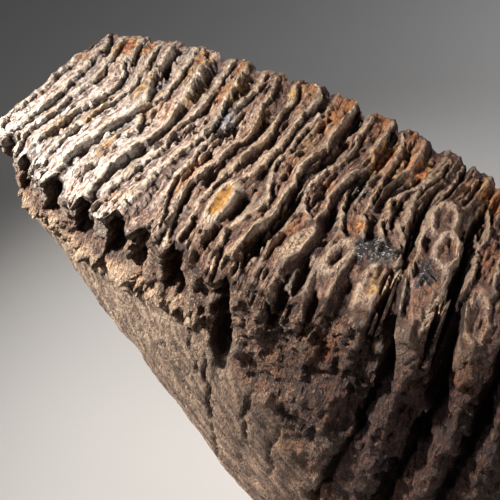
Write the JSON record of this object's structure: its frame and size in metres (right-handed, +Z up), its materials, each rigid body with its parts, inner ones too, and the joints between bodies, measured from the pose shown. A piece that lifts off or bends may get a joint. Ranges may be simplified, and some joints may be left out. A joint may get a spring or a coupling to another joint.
{
  "type": "fossil mammoth tooth",
  "caption": "Fossil mammoth molar with a wavy ridged chewing surface, fluted flanks and a slanting front, standing on its flat broken roots.",
  "frame": {"origin": "Middle of the tooth's extent in length and width, on the flat broken face of the roots that it stands on", "axes": "+X runs along the tooth from the worn, slanting front end to the unworn back end, +Y points to the far flank, +Z points up to the chewing surface"},
  "size_m": [0.2026, 0.0944, 0.1145],
  "materials": {
    "fossil_tooth": "matte, rough mineralised enamel, dentine and cementum in cream, brown and grey"
  },
  "bodies": {
    "root": {"mammoth_tooth": "fossil_tooth"}
  },
  "joints": []
}
